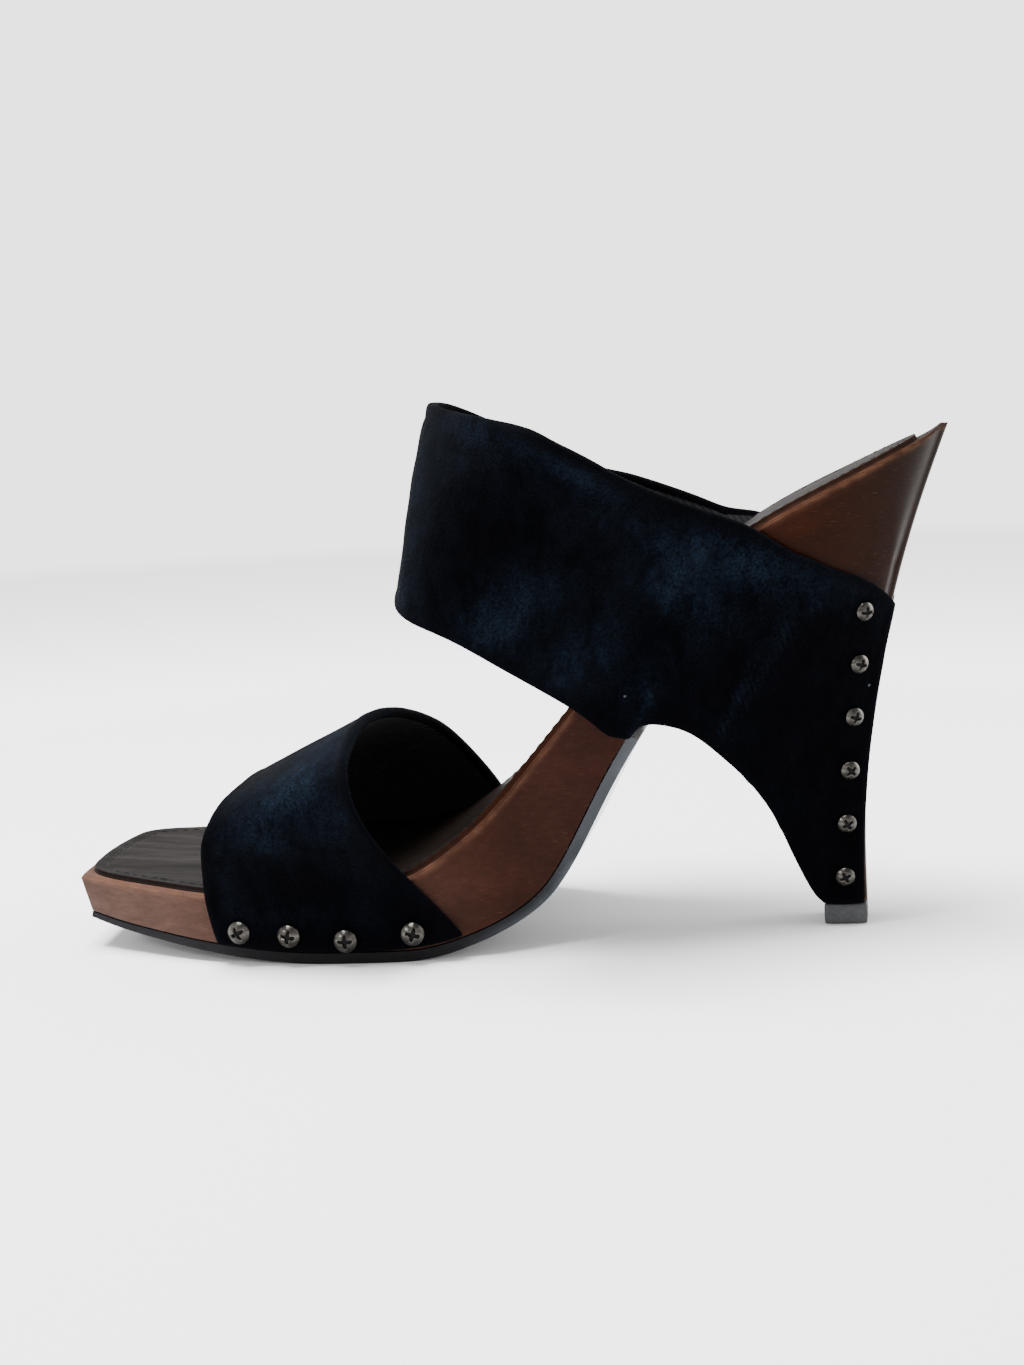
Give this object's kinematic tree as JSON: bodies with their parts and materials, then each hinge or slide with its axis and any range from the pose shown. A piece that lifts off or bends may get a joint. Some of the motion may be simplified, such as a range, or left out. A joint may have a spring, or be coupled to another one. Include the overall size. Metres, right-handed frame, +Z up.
{
  "type": "platform sandal",
  "caption": "High-heeled platform sandal with a carved wooden sole and wide velvet straps screwed to its sides, open at toe and heel. Right shoe.",
  "frame": {"origin": "on the floor under the ball of the foot, on the outsole's flat tread", "axes": "+X towards the heel, +Y towards the lateral side, +Z up"},
  "size_m": [0.2114, 0.0988, 0.1284],
  "materials": {
    "wood": "lacquered, fine grain",
    "sole_black": "glossy",
    "lift_rubber": "matt",
    "insole_leather": "smooth, half glossy",
    "velvet": "velvet with a brushed nap",
    "nickel": "dull, slightly dark"
  },
  "bodies": {
    "root": {"wood_sole": "wood", "outsole": "sole_black", "top_lift": "lift_rubber", "insole": "insole_leather", "front_strap": "velvet", "instep_strap": "velvet", "front_screw_medial_1": "nickel", "front_screw_medial_2": "nickel", "front_screw_medial_3": "nickel", "front_screw_medial_4": "nickel", "front_screw_lateral_1": "nickel", "front_screw_lateral_2": "nickel", "front_screw_lateral_3": "nickel", "front_screw_lateral_4": "nickel", "heel_screw_medial_1": "nickel", "heel_screw_medial_2": "nickel", "heel_screw_medial_3": "nickel", "heel_screw_medial_4": "nickel", "heel_screw_medial_5": "nickel", "heel_screw_medial_6": "nickel", "heel_screw_lateral_1": "nickel", "heel_screw_lateral_2": "nickel", "heel_screw_lateral_3": "nickel", "heel_screw_lateral_4": "nickel", "heel_screw_lateral_5": "nickel", "heel_screw_lateral_6": "nickel"}
  },
  "joints": []
}
